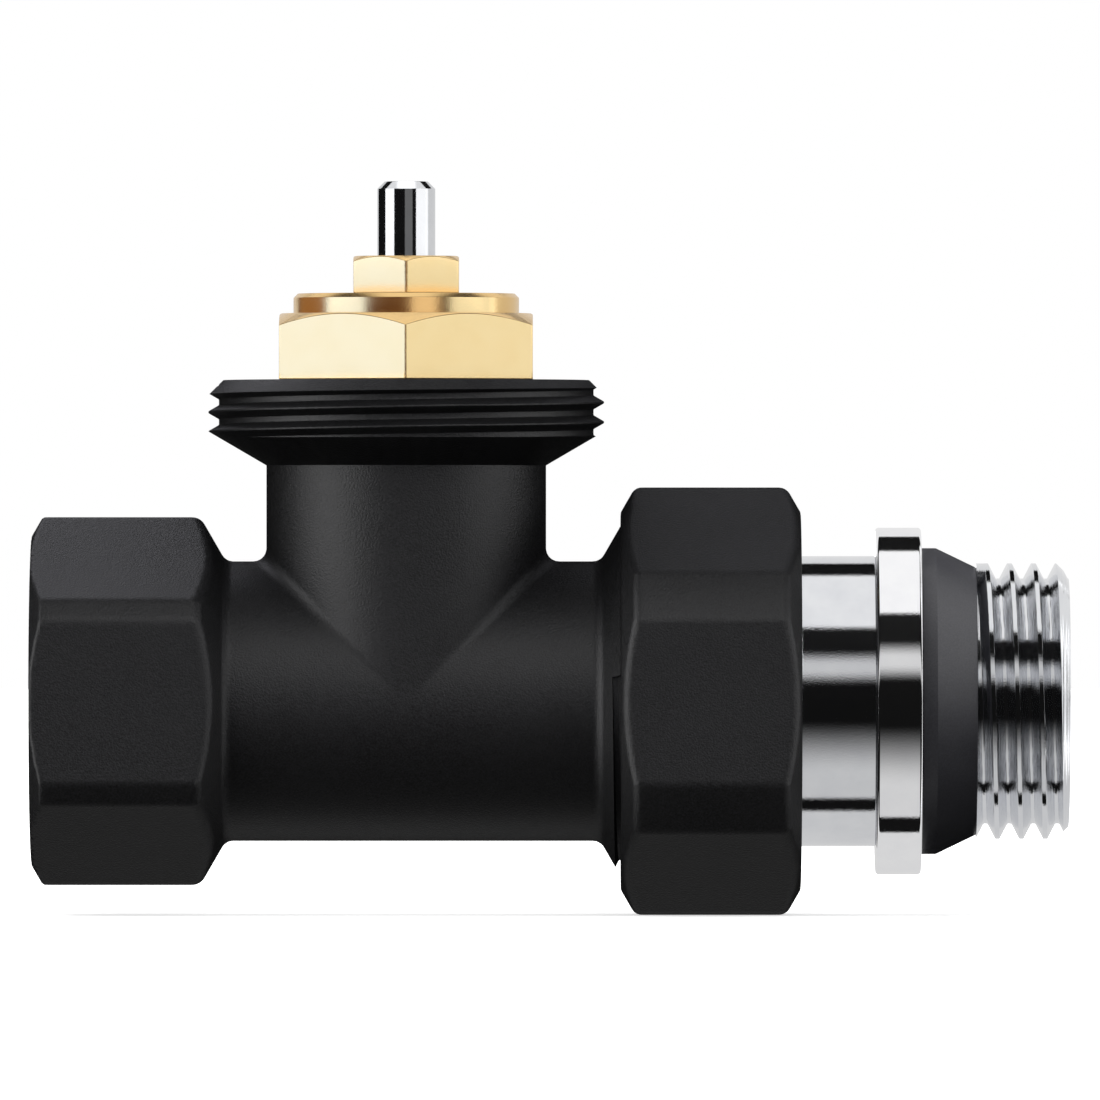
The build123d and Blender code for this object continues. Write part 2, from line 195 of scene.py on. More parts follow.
def rounded(points, radii, steps=4, closed=True):
    """The outline through points with each corner replaced by an arc of its radius."""
    out = []
    count = len(points)
    for i, (corner, radius) in enumerate(zip(points, radii)):
        corner = np.array(corner, float)
        if radius <= 0 or (not closed and i in (0, count - 1)):
            out.append(corner)
            continue
        before = np.array(points[i - 1], float) - corner
        after = np.array(points[(i + 1) % count], float) - corner
        u, v = before / np.linalg.norm(before), after / np.linalg.norm(after)
        half = np.arccos(np.clip(u @ v, -1, 1)) / 2
        if half > NEARLY_STRAIGHT:
            out.append(corner)
            continue
        shorter = min(np.linalg.norm(before), np.linalg.norm(after))
        reach = min(radius / tan(half), 0.49 * shorter)
        radius = reach * tan(half)
        centre = corner + (u + v) / np.linalg.norm(u + v) * radius / sin(half)
        first, last = corner + u * reach - centre, corner + v * reach - centre
        sweep = pi - 2 * half
        turn = 1 if first[0] * last[1] - first[1] * last[0] > 0 else -1
        for s in np.linspace(0, turn * sweep, steps + 1):
            c, d = cos(s), sin(s)
            x, y = first
            out.append(centre + np.array([x * c - y * d, x * d + y * c]))
    return out


def bar_outline(start, end, radius):
    """Outline of a plain round bar on the axis."""
    return [(start, 0), (start, radius), (end, radius), (end, 0)]


def about_run(along, radius, angle):
    """Points about the run axis: angle 0 is +Y and a quarter turn is +Z."""
    return np.stack([along, radius * np.cos(angle), radius * np.sin(angle)], -1)


def about_stem(along, radius, angle):
    """Points about the insert axis: angle 0 is +X and a quarter turn is +Y."""
    return np.stack([HEAD_X + radius * np.cos(angle), radius * np.sin(angle), along], -1)


# ---- Meshes ----

def new_object(name, points, faces):
    mesh = bpy.data.meshes.new(name)
    mesh.from_pydata((np.asarray(points, float) * MM).tolist(), [], faces)
    obj = bpy.data.objects.new(name, mesh)
    bpy.context.scene.collection.objects.link(obj)
    work = bmesh.new()
    work.from_mesh(mesh)
    loose = [v for v in work.verts if not v.link_faces]
    bmesh.ops.delete(work, geom=loose, context="VERTS")
    bmesh.ops.recalc_face_normals(work, faces=work.faces)
    work.to_mesh(mesh)
    work.free()
    mesh.shade_smooth()
    return obj


def turned(name, outline, about=about_run, segments=TURN):
    """A closed solid turned from (along, radius) points; points on the axis become poles."""
    angles = np.arange(segments) * 2 * pi / segments
    points, rings = [], []
    for along, radius in outline:
        if radius < 1e-6:
            rings.append([len(points)])
            points.extend(about(np.array([along]), 0.0, np.zeros(1)))
        else:
            rings.append(list(range(len(points), len(points) + segments)))
            points.extend(about(np.full(segments, along), radius, angles))
    faces = []
    for a, b in zip(rings, rings[1:] + rings[:1]):
        for i in range(segments):
            j = (i + 1) % segments
            if len(a) == 1 and len(b) == 1:
                break
            if len(a) == 1:
                faces.append((a[0], b[j], b[i]))
            elif len(b) == 1:
                faces.append((a[i], a[j], b[0]))
            else:
                faces.append((a[i], a[j], b[j], b[i]))
    return new_object(name, points, faces)


HEXAGON_CORNER = pi / 2       # the brass hexagons have corners at the back and the front


def hexagon_angles(flats, edge):
    """Angles round a hexagon, dense along its rounded edges."""
    corner = flats / sqrt(3)
    half = edge / corner
    fine = np.linspace(-half, half, 7)
    coarse = np.linspace(half, pi / 3 - half, 26)[1:-1]
    sector = np.concatenate([fine, coarse])
    return np.concatenate([HEXAGON_CORNER + k * pi / 3 + sector for k in range(6)])


def turned_hexagon(name, flats, outline_at, edge):
    """A hexagonal solid whose outline, from pole to pole, depends on its radius at each angle."""
    angles = hexagon_angles(flats, edge)
    corner = flats / sqrt(3)
    columns = []
    for angle in angles:
        off = (angle - HEXAGON_CORNER + pi / 6) % (pi / 3) - pi / 6
        radius = flats / 2 / cos(pi / 6 - abs(off))
        across = min(abs(off) * corner / edge, 1.0)
        radius -= 0.15 * edge * (1 - across) ** 2
        columns.append(outline_at(radius))
    columns = np.array(columns)
    count, rows = len(angles), columns.shape[1]
    points = [about_stem(columns[:, k, 0], columns[:, k, 1], angles) for k in range(1, rows - 1)]
    points = np.concatenate(points + [
        about_stem(columns[:1, 0, 0], 0.0, np.zeros(1)),
        about_stem(columns[:1, -1, 0], 0.0, np.zeros(1)),
    ])
    low, high = len(points) - 2, len(points) - 1
    faces = []
    for i in range(count):
        j = (i + 1) % count
        for k in range(rows - 3):
            faces.append((k * count + i, k * count + j, (k + 1) * count + j, (k + 1) * count + i))
        top = (rows - 3) * count
        faces.append((low, j, i))
        faces.append((high, top + i, top + j))
    return new_object(name, points, faces)


def thread_outline(pitch, root, crest, crest_flat, flank, crest_arc, root_arc, steps=3):
    """One pitch of a thread, from the middle of one root to the next, as (along, radius)."""
    lean = (crest - root) * tan(flank)
    shoulder = crest_flat / 2
    points = [
        (-pitch / 2, root), (-shoulder - lean, root), (-shoulder, crest), (shoulder, crest),
        (shoulder + lean, root), (pitch / 2, root),
    ]
    return rounded(points, [0, root_arc, crest_arc, crest_arc, root_arc, 0], steps, closed=False)


def threaded_rod(name, outline, pitch, start, end, about=about_run, segments=TURN):
    """A right-handed threaded rod with a crest that passes the start at angle 0.

    Its ragged ends are meant to be cut off by a boolean."""
    outline = outline[:-1]
    turns = ceil((end - start) / pitch) + 2
    strip = turns * segments
    rail = strip + segments
    alongs = np.array([p[0] for p in outline])
    radii = np.array([p[1] for p in outline])
    steps = np.arange(rail + 1)
    angles = steps * 2 * pi / segments
    base = start - pitch + steps * pitch / segments
    across = len(outline)
    grid = about(base[:, None] + alongs[None, :], radii[None, :], angles[:, None])
    points = grid.reshape(-1, 3)
    low = about(np.array([base[0]]), 0.0, np.zeros(1))
    high = about(np.array([base[-1]]), 0.0, np.zeros(1))
    points = np.concatenate([points, low, high])
    low_at, high_at = len(points) - 2, len(points) - 1
    faces = []
    for i in range(strip):
        row, following = i * across, (i + 1) * across
        for k in range(across - 1):
            faces.append((row + k, following + k, following + k + 1, row + k + 1))
        upper = (i + segments) * across
        faces.append((row + across - 1, following + across - 1, upper + across, upper))

    def rim(i):
        """Boundary loop of one ragged end: across the outline, then back round the rail."""
        step = [i * across + k for k in range(across)]
        return step + [(i + s) * across for s in range(segments, 0, -1)]

    for at, loop in ((low_at, rim(0)), (high_at, rim(strip)[::-1])):
        faces.extend((at, a, b) for a, b in zip(loop, loop[1:] + loop[:1]))
    return new_object(name, points, faces)


def combine(obj, other, how):
    """Joins, cuts or keeps the common part of two closed meshes, and removes the second."""
    change = obj.modifiers.new("combine", "BOOLEAN")
    change.operation = how
    change.solver = "MANIFOLD"
    change.object = other
    apply_modifiers(obj)
    bpy.data.objects.remove(other)
    return obj


def join(obj, other):
    return combine(obj, other, "UNION")


def cut(obj, other):
    return combine(obj, other, "DIFFERENCE")


def common(obj, other):
    return combine(obj, other, "INTERSECT")


def apply_modifiers(obj):
    graph = bpy.context.evaluated_depsgraph_get()
    graph.update()
    mesh = bpy.data.meshes.new_from_object(obj.evaluated_get(graph))
    obj.modifiers.clear()
    obj.data = mesh


# ---- Distance fields for the forged skins ----

BARREL_OVERLAP = 1.5          # how far the barrels reach into the boss and the collar
BRANCH_OVERLAP = 1.0


def edge_round(a, b, radius, cosine=0.0):
    """Common part of two fields with a rounded edge; cosine is that of the angle it turns."""
    depth = radius * (1 - cosine)
    u, v = np.maximum(depth + a, 0), np.maximum(depth + b, 0)
    return np.minimum(-depth, np.maximum(a, b)) + np.sqrt(u * u + v * v)


def fillet(a, b, radius, cosine=0.0):
    """Union of two fields with a fillet in the corner; cosine is that of the angle it turns."""
    depth = radius * (1 - cosine)
    u, v = np.maximum(depth - a, 0), np.maximum(depth - b, 0)
    return np.maximum(depth, np.minimum(a, b)) - np.sqrt(u * u + v * v)


def corner_bar(y, z, flats, corner, radius):
    """A hexagonal bar turned down to its corner radius, with rounded edges between."""
    turn = flats / 2 / corner
    return edge_round(hexagon_field(y, z, flats), np.sqrt(y * y + z * z) - corner, radius, turn)


def hexagon_field(y, z, flats):
    """A hexagonal bar along the run with its corners up and down."""
    sides = [np.abs(y * cos(k * pi / 3) + z * sin(k * pi / 3)) for k in range(3)]
    return np.maximum(np.maximum(sides[0], sides[1]), sides[2]) - flats / 2


def cone_field(x, r, start, radius, lean):
    """A cone through (start, radius) whose normal leans towards +X by the sine of lean."""
    return (x - start) * sin(lean) + (r - radius) * cos(lean)


def body_field(p):
    """Forged outside of the valve body, without its collar and its union thread."""
    x, y, z = p[..., 0], p[..., 1], p[..., 2]
    r = np.sqrt(y * y + z * z)
    bar = corner_bar(y, z, INLET_FLATS, INLET_CORNER_RADIUS, 1.3)
    face_chamfer = cone_field(x, r, INLET_X, INLET_FACE_RADIUS, -pi / 2 + CHAMFER)
    bar = edge_round(bar, face_chamfer, 0.35, cos(CONE))
    back_cone = cone_field(x, r, INLET_HEX_LENGTH, INLET_CORNER_RADIUS, CONE)
    bar = edge_round(bar, back_cone, 1.0, cos(CONE))
    bar = edge_round(bar, INLET_X - x, 0.3, cos(CHAMFER))
    inside_hexagon = 8
    barrel = np.maximum(r - RUN_RADIUS, x - FLARE_END_X - BARREL_OVERLAP)
    barrel = np.maximum(barrel, inside_hexagon - x)
    run = fillet(bar, barrel, ROOT_FILLET, cos(CONE))
    flare = cone_field(x, r, FLARE_START_X, RUN_RADIUS, -CONE)
    flare = np.maximum(flare, np.maximum(x - FLARE_END_X, r - UNION_THREAD[1]))
    run = fillet(run, flare, ROOT_FILLET, cos(CONE))
    along = x - HEAD_X
    reach = np.sqrt(along * along + y * y)
    branch = np.maximum(reach - RUN_RADIUS, np.maximum(z - COLLAR_BASE - BRANCH_OVERLAP, -z))
    cosine = y * y / np.maximum(r * reach, 1e-6)
    return fillet(run, branch, TEE_FILLET, np.minimum(cosine, 1.0))


def collar_field(p):
    """Underside of the flared collar."""
    reach = np.sqrt((p[..., 0] - HEAD_X) ** 2 + p[..., 1] ** 2)
    rise, spread = COLLAR_CONE_TOP - COLLAR_BASE, HEAD_THREAD_RADIUS - RUN_RADIUS
    return cone_field(-p[..., 2], reach, -COLLAR_BASE, RUN_RADIUS, atan2(spread, rise))


def nut_field(p):
    """Outside of the union nut."""
    x, y, z = p[..., 0], p[..., 1], p[..., 2]
    r = np.sqrt(y * y + z * z)
    bar = corner_bar(y, z, NUT_FLATS, NUT_CORNER_RADIUS, 1.6)
    lean = pi / 2 - CHAMFER
    bar = edge_round(bar, cone_field(x, r, NUT_LOW[0], NUT_FACE_RADIUS, -lean), 0.8, cos(CONE))
    bar = edge_round(bar, cone_field(x, r, NUT_HIGH[0], NUT_FACE_RADIUS, lean), 0.9, cos(CONE))
    bar = edge_round(bar, NUT_LOW[0] - x, 0.3, cos(CHAMFER))
    return edge_round(bar, x - NUT_HIGH[0], 0.4, cos(CHAMFER))


def gradient(field, points, step=0.01):
    """Slope of a field at each point, by central differences."""
    parts = []
    for axis in range(3):
        shift = np.zeros(3)
        shift[axis] = step
        parts.append((field(points + shift) - field(points - shift)) / (2 * step))
    return np.stack(parts, -1)


def skin(name, field, low, high, cell):
    """Closed mesh of a field's zero surface: one point in each cell that it crosses."""
    margin = 2.37 * cell      # not a whole number, so flat faces don't lie on the lattice
    low, high = np.array(low, float) - margin, np.array(high, float) + margin
    counts = np.ceil((high - low) / cell).astype(int) + 1
    axes = [low[k] + cell * np.arange(counts[k]) for k in range(3)]
    values = np.empty(counts)
    for i, x in enumerate(axes[0]):
        sheet = np.stack(np.meshgrid([x], axes[1], axes[2], indexing="ij"), -1)
        values[i] = field(sheet)[0]
    inside = values < 0
    cells = tuple(c - 1 for c in counts)
    total = np.zeros(cells, np.int8)
    for dx, dy, dz in np.ndindex(2, 2, 2):
        total += inside[dx:dx + cells[0], dy:dy + cells[1], dz:dz + cells[2]]
    where = np.argwhere((total > 0) & (total < 8))
    index = np.full(cells, -1)
    index[tuple(where.T)] = np.arange(len(where))
    points = low + (where + 0.5) * cell
    for _ in range(6):
        slope = gradient(field, points)
        size = np.maximum((slope * slope).sum(-1, keepdims=True), 0.25)
        move = np.clip(-field(points)[:, None] * slope / size, -cell / 2, cell / 2)
        points = points + move
    faces = []
    for axis in range(3):
        u, v = (axis + 1) % 3, (axis + 2) % 3
        first = [slice(None)] * 3
        second = [slice(None)] * 3
        first[axis], second[axis] = slice(0, -1), slice(1, None)
        crossing = np.argwhere(inside[tuple(first)] != inside[tuple(second)])
        keep = (crossing[:, u] > 0) & (crossing[:, v] > 0)
        keep &= (crossing[:, u] < counts[u] - 1) & (crossing[:, v] < counts[v] - 1)
        crossing = crossing[keep]
        quad = []
        for du, dv in ((1, 1), (0, 1), (0, 0), (1, 0)):
            at = crossing.copy()
            at[:, u] -= du
            at[:, v] -= dv
            quad.append(index[tuple(at.T)])
        quad = np.stack(quad, -1)
        leaving = inside[tuple(crossing.T)]
        quad[~leaving] = quad[~leaving][:, ::-1]
        faces.extend(quad.tolist())
    return new_object(name, points, faces)


# ---- Normals ----

SHARP = radians(31)
ON_FIELD = 0.004              # how near to a field's surface a point of it lies, in millimetres
SAME_SIDE = 0.55              # least cosine between a face's normal and its field's


def crisp(obj):
    """Flat faces stay flat beside small rounded edges."""
    obj.data.shade_smooth()
    obj.data.set_sharp_from_angle(angle=SHARP)
    weigh = obj.modifiers.new("weigh", "WEIGHTED_NORMAL")
    weigh.mode = "FACE_AREA"
    weigh.weight = 90
    weigh.keep_sharp = True
    apply_modifiers(obj)
    return obj


def numbers(items, key):
    """One whole number of every mesh item."""
    values = np.empty(len(items), np.int32)
    items.foreach_get(key, values)
    return values


def vectors(items, key):
    """One vector of every mesh item, in rows."""
    values = np.empty(len(items) * 3, np.float32)
    items.foreach_get(key, values)
    return values.reshape(-1, 3)


def cast(obj, *fields):
    """Normals from the fields wherever a face lies on one of them; the rest stays crisp."""
    crisp(obj)
    mesh = obj.data
    normals = vectors(mesh.corner_normals, "vector")
    points = vectors(mesh.vertices, "co").astype(float) / MM
    verts = numbers(mesh.loops, "vertex_index")
    starts = numbers(mesh.polygons, "loop_start")
    totals = numbers(mesh.polygons, "loop_total")
    face_of = np.repeat(np.arange(len(mesh.polygons)), totals)
    flat = vectors(mesh.polygons, "normal")
    for field in fields:
        slope = gradient(field, points)
        slope /= np.maximum(np.linalg.norm(slope, axis=-1, keepdims=True), 1e-9)
        on_field = np.abs(field(points)) < ON_FIELD
        whole = np.minimum.reduceat(on_field[verts].astype(int), starts) > 0
        agrees = (slope[verts] * flat[face_of]).sum(-1) > SAME_SIDE
        use = whole[face_of] & agrees
        normals[use] = slope[verts][use]
    mesh.normals_split_custom_set(normals.tolist())
    return obj


# ---- Swept and straight bars ----

def helical_bar(name, section, pitch, start, first, last, about=about_run, segments=TURN):
    """A bar swept right-handed from one angle to another.

    section is a closed outline of (along, radius), and start is its place along the axis at the
    first angle."""
    count = ceil((last - first) / (2 * pi) * segments)
    angles = np.linspace(first, last, count + 1)
    shift = start + (angles - first) / (2 * pi) * pitch
    section = np.array(section)
    across = len(section)
    grid = about(shift[:, None] + section[None, :, 0], section[None, :, 1], angles[:, None])
    faces = [tuple(range(across)), tuple(range(count * across, (count + 1) * across))]
    for i in range(count):
        for k in range(across):
            m = (k + 1) % across
            row, following = i * across, (i + 1) * across
            faces.append((row + k, following + k, following + m, row + m))
    return new_object(name, grid.reshape(-1, 3), faces)


def prism(name, outline, start, end):
    """A bar along the run from a closed (y, z) outline."""
    count = len(outline)
    points = [(x, y, z) for x in (start, end) for y, z in outline]
    faces = [tuple(range(count)), tuple(range(count, 2 * count))]
    faces += [(i, (i + 1) % count, count + (i + 1) % count, count + i) for i in range(count)]
    return new_object(name, points, faces)


def segment_outline(radius, low, high, steps=48):
    """The part of a circle between two heights, as a (y, z) outline."""
    a, b = np.arcsin(np.clip([low / radius, high / radius], -1, 1))
    rise = np.linspace(a, b, steps)
    right = [(radius * cos(t), radius * sin(t)) for t in rise]
    left = [(-y, z) for y, z in reversed(right)]
    outline = right + left
    return [p for i, p in enumerate(outline) if np.hypot(*np.subtract(p, outline[i - 1])) > 1e-6]


# ---- Pieces ----

def head_collar():
    """Flared collar with its M30 x 1.5 thread."""
    inside_branch = 10.2      # radius at which the cone starts, hidden in the branch
    slope = (COLLAR_CONE_TOP - COLLAR_BASE) / (HEAD_THREAD_RADIUS - RUN_RADIUS)
    low = COLLAR_BASE - (RUN_RADIUS - inside_branch) * slope
    bevel = HEAD_THREAD_RADIUS - COLLAR_TOP_RADIUS
    outline = rounded(
        [
            (low, COLLAR_BORE_RADIUS), (low, inside_branch),
            (COLLAR_CONE_TOP, HEAD_THREAD_RADIUS), (COLLAR_TOP - bevel, HEAD_THREAD_RADIUS),
            (COLLAR_TOP, COLLAR_TOP_RADIUS), (COLLAR_TOP, COLLAR_BORE_RADIUS),
        ],
        [0, 0, 0.08, 0.08, 0.12, 0],
    )
    thread = thread_outline(
        HEAD_PITCH, HEAD_ROOT_RADIUS, HEAD_THREAD_RADIUS,
        crest_flat=0.14, flank=METRIC_FLANK, crest_arc=0.1, root_arc=0.12,
    )
    start = HEAD_CREST_Z - 3 * HEAD_PITCH
    rod = threaded_rod("head_thread", thread, HEAD_PITCH, start, COLLAR_TOP + 1, about_stem)
    return common(turned("collar", outline, about_stem), rod)


def union_boss():
    """Outlet boss, before its thread is cut."""
    root, crest = UNION_THREAD
    bevel = 1.1
    bore_start, bore = NOSE_BORE
    outline = [
        (FLARE_END_X - 0.6, BOSS_BORE_RADIUS), (FLARE_END_X - 0.6, root - 0.2),
        (FLARE_END_X - 0.25, crest - 0.5), (FLARE_END_X, crest), (BOSS_END_X - bevel, crest),
        (BOSS_END_X, crest - bevel), (BOSS_END_X, bore + 0.3), (BOSS_END_X - 0.3, bore),
        (bore_start, bore), (bore_start, BOSS_BORE_RADIUS),
    ]
    return turned("boss", outline)


def union_groove():
    """Cutter for the G 3/4 thread, which starts in front, above the middle."""
    root, crest = UNION_THREAD
    top = crest + 0.8
    half_root = 0.18
    wide = half_root + (top - root) * tan(PIPE_FLANK)
    section = [(-wide, top), (-half_root, root), (half_root, root), (wide, top)]
    first = pi - 0.155
    past_end = 1.52
    turns = (BOSS_END_X + past_end - UNION_START_X) / PIPE_PITCH
    last = first + turns * 2 * pi
    return helical_bar("groove", section, PIPE_PITCH, UNION_START_X, first, last)


def inlet_mouth():
    """Cutter for the Rp 1/2 female thread and its lead-in."""
    minor, major = INLET_THREAD
    thread = thread_outline(
        PIPE_PITCH, minor, major,
        crest_flat=0.3, flank=PIPE_FLANK, crest_arc=0.1, root_arc=0.1, steps=1,
    )
    start, end = INLET_X - 2, INLET_THREAD_DEPTH + 2
    rod = threaded_rod("inlet_thread", thread, PIPE_PITCH, start, end, segments=160)
    rod = common(rod, turned("keep", bar_outline(INLET_X - 1, INLET_THREAD_DEPTH, major + 2)))
    lead_in = [
        (INLET_X - 1, 0), (INLET_X - 1, minor + 2.1), (INLET_X, minor + 1.1),
        (INLET_X + 1.2, minor - 0.1), (INLET_X + 1.2, 0),
    ]
    run_out = [
        (INLET_THREAD_DEPTH - 1.2, 0), (INLET_THREAD_DEPTH - 1.2, minor + 0.2),
        (INLET_THREAD_DEPTH - 0.1, major + 0.1), (INLET_THREAD_DEPTH + 0.6, major + 0.1),
        (INLET_THREAD_DEPTH + 2.1, PASSAGE_RADIUS - 0.4), (INLET_THREAD_DEPTH + 2.1, 0),
    ]
    return [rod, turned("lead_in", lead_in), turned("run_out", run_out)]


def waterways():
    """Cutters for the passages, the seat and the branch bore."""
    r = PASSAGE_RADIUS
    orifice, lip, lip_top = SEAT
    low, high = WEB
    inlet = rounded(bar_outline(*INLET_PASSAGE, r), [0, 0, 1.2, 0])
    inlet = turned("inlet_passage", inlet)
    lower = prism("lower_passage", segment_outline(r - SKIM, -r, low), *LOWER_PASSAGE)
    narrow_z, wide_z, wide = BRANCH_BORE
    branch = rounded(
        [
            (low - 1, 0), (low - 1, orifice), (lip_top, orifice), (lip_top, lip), (high, lip),
            (high, r - 2 * SKIM), (narrow_z, r - 2 * SKIM), (wide_z, wide),
            (COLLAR_TOP + 1, wide), (COLLAR_TOP + 1, 0),
        ],
        [0, 0, 0.15, 0.15, 0.2, 0.2, 0, 0, 0, 0],
    )
    branch = turned("branch_bore", branch, about_stem)
    upper = segment_outline(r - 3 * SKIM, high + 2 * SKIM, r)
    upper = prism("upper_passage", upper, *UPPER_PASSAGE)
    outlet = rounded(bar_outline(OUTLET_PASSAGE_X, NOSE_BORE[0] + 1, r), [0, 1.2, 0, 0])
    outlet = turned("outlet_passage", outlet)
    return [inlet, lower, branch, upper, outlet]


def valve_body():
    low = (INLET_X, -UNION_THREAD[1], -INLET_CORNER_RADIUS)
    high = (FLARE_END_X + BARREL_OVERLAP, UNION_THREAD[1], COLLAR_BASE + BRANCH_OVERLAP)
    body = skin("valve_body_forging", body_field, low, high, BODY_CELL)
    join(body, head_collar())
    join(body, union_boss())
    cut(body, union_groove())
    for cutter in waterways() + inlet_mouth():
        cut(body, cutter)
    return cast(body, body_field, collar_field)


def union_nut():
    low = (NUT_LOW[0], -NUT_FLATS / 2, -NUT_CORNER_RADIUS)
    high = (NUT_HIGH[0], NUT_FLATS / 2, NUT_CORNER_RADIUS)
    nut = skin("union_nut_forging", nut_field, low, high, NUT_CELL)
    clearance = 0.1
    minor, major = UNION_THREAD[0] + clearance, UNION_THREAD[1] + clearance
    thread = thread_outline(
        PIPE_PITCH, minor, major, crest_flat=0.25, flank=PIPE_FLANK, crest_arc=0.08, root_arc=0.08
    )
    start = UNION_START_X - 4 * PIPE_PITCH
    rod = threaded_rod("nut_thread", thread, PIPE_PITCH, start, NUT_WALL_X + 2)
    keep = bar_outline(NUT_LOW[0] - 1, NUT_WALL_X - 1.4, major + 1)
    cut(nut, common(rod, turned("keep", keep)))
    relief = [
        (NUT_WALL_X - 2.4, 0), (NUT_WALL_X - 2.4, minor), (NUT_WALL_X - 1.5, major + 0.05),
        (NUT_WALL_X, major + 0.05), (NUT_WALL_X, 0),
    ]
    cut(nut, turned("relief", relief))
    lead_in = [
        (NUT_LOW[0] - 1, 0), (NUT_LOW[0] - 1, major + 1), (NUT_LOW[0], major),
        (NUT_LOW[0] + 1.2, minor - 0.04), (NUT_LOW[0] + 1.2, 0),
    ]
    cut(nut, turned("lead_in", lead_in))
    neck = [
        (NUT_WALL_X - 0.5, 0), (NUT_WALL_X - 0.5, NUT_NECK_RADIUS),
        (NUT_HIGH[0] - 0.25, NUT_NECK_RADIUS), (NUT_HIGH[0] + 0.5, NUT_NECK_RADIUS + 0.75),
        (NUT_HIGH[0] + 0.5, 0),
    ]
    cut(nut, turned("neck", neck))
    return cast(nut, nut_field)


def chamfered_column(low, high, face_radius, edge):
    """Outline of a hexagon at one angle: its side, the turned chamfer and the top face."""
    def outline_at(radius):
        drop = max((radius - face_radius) * tan(CHAMFER), 0.02)
        corner_points = [
            (low, 0), (low, radius), (high - drop, radius),
            (high, min(face_radius, radius - 0.02)), (high, 0),
        ]
        return np.array(rounded(corner_points, [0, 0.1, edge, edge, 0], 4))
    return outline_at


def insert_housing():
    low, top = HOUSING_LOW[2], HOUSING_HIGH[2]
    outline_at = chamfered_column(COLLAR_TOP + 0.02, HOUSING_HEX_TOP, HOUSING_FACE_RADIUS, 0.1)
    housing = turned_hexagon("insert_hexagon", HOUSING_FLATS, outline_at, 0.14)
    wide_z, wide = BRANCH_BORE[1:]
    bevel = 0.33
    shank = rounded(
        [
            (low, 0), (low, HOUSING_LOWER_RADIUS), (wide_z, HOUSING_LOWER_RADIUS),
            (wide_z + 0.8, HOUSING_UPPER_RADIUS), (COLLAR_TOP + 1, HOUSING_UPPER_RADIUS),
            (COLLAR_TOP + 1, HOUSING_FLANGE_RADIUS), (top - bevel, HOUSING_FLANGE_RADIUS),
            (top, HOUSING_FLANGE_RADIUS - bevel), (top, 0),
        ],
        [0, 0.3, 0, 0, 0, 0, 0.08, 0.08, 0],
    )
    join(housing, turned("shank", shank, about_stem))
    spring_end, spring_radius = SPRING_BORE
    gland_start, gland_radius = GLAND_BORE
    bore = [
        (low - 1, 0), (low - 1, spring_radius), (spring_end, spring_radius),
        (spring_end, SPINDLE_BORE_RADIUS), (gland_start, SPINDLE_BORE_RADIUS),
        (gland_start, gland_radius), (top + 1, gland_radius), (top + 1, 0),
    ]
    cut(housing, turned("bore", bore, about_stem))
    start, end, radius = INSERT_GROOVE
    groove = [(start, radius), (start, wide), (end, wide), (end, radius)]
    cut(housing, turned("groove", groove, about_stem))
    return crisp(housing)


def gland_nut():
    low, top = GLAND_LOW[2], GLAND_HIGH[2]
    base = HOUSING_HIGH[2] + 0.01
    outline_at = chamfered_column(base, top, GLAND_FACE_RADIUS, 0.07)
    nut = turned_hexagon("gland_hexagon", GLAND_FLATS, outline_at, 0.2)
    start, end, radius = GLAND_GROOVE
    shank = [
        (low, 0), (low, GLAND_SHANK_RADIUS), (start, GLAND_SHANK_RADIUS), (start, radius),
        (end, radius), (end, GLAND_SHANK_RADIUS), (base + 0.5, GLAND_SHANK_RADIUS),
        (base + 0.5, 0),
    ]
    join(nut, turned("shank", shank, about_stem, 128))
    clear = PIN_RADIUS + 0.05
    wide = clear + 0.5
    bore = [(low - 1, 0), (low - 1, clear), (top - 0.2, clear), (top + 0.3, wide), (top + 0.3, 0)]
    cut(nut, turned("bore", bore, about_stem, 128))
    return crisp(nut)


def push_pin():
    low, top = PIN_LOW[2], PIN_HIGH[2]
    outline = rounded(
        [
            (low, 0), (low, PIN_RADIUS), (top - PIN_CHAMFER, PIN_RADIUS),
            (top, PIN_RADIUS - PIN_CHAMFER), (top, 0),
        ],
        [0, 0.3, 0.06, 0.1, 0],
    )
    return crisp(turned("pin", outline, about_stem, 160))


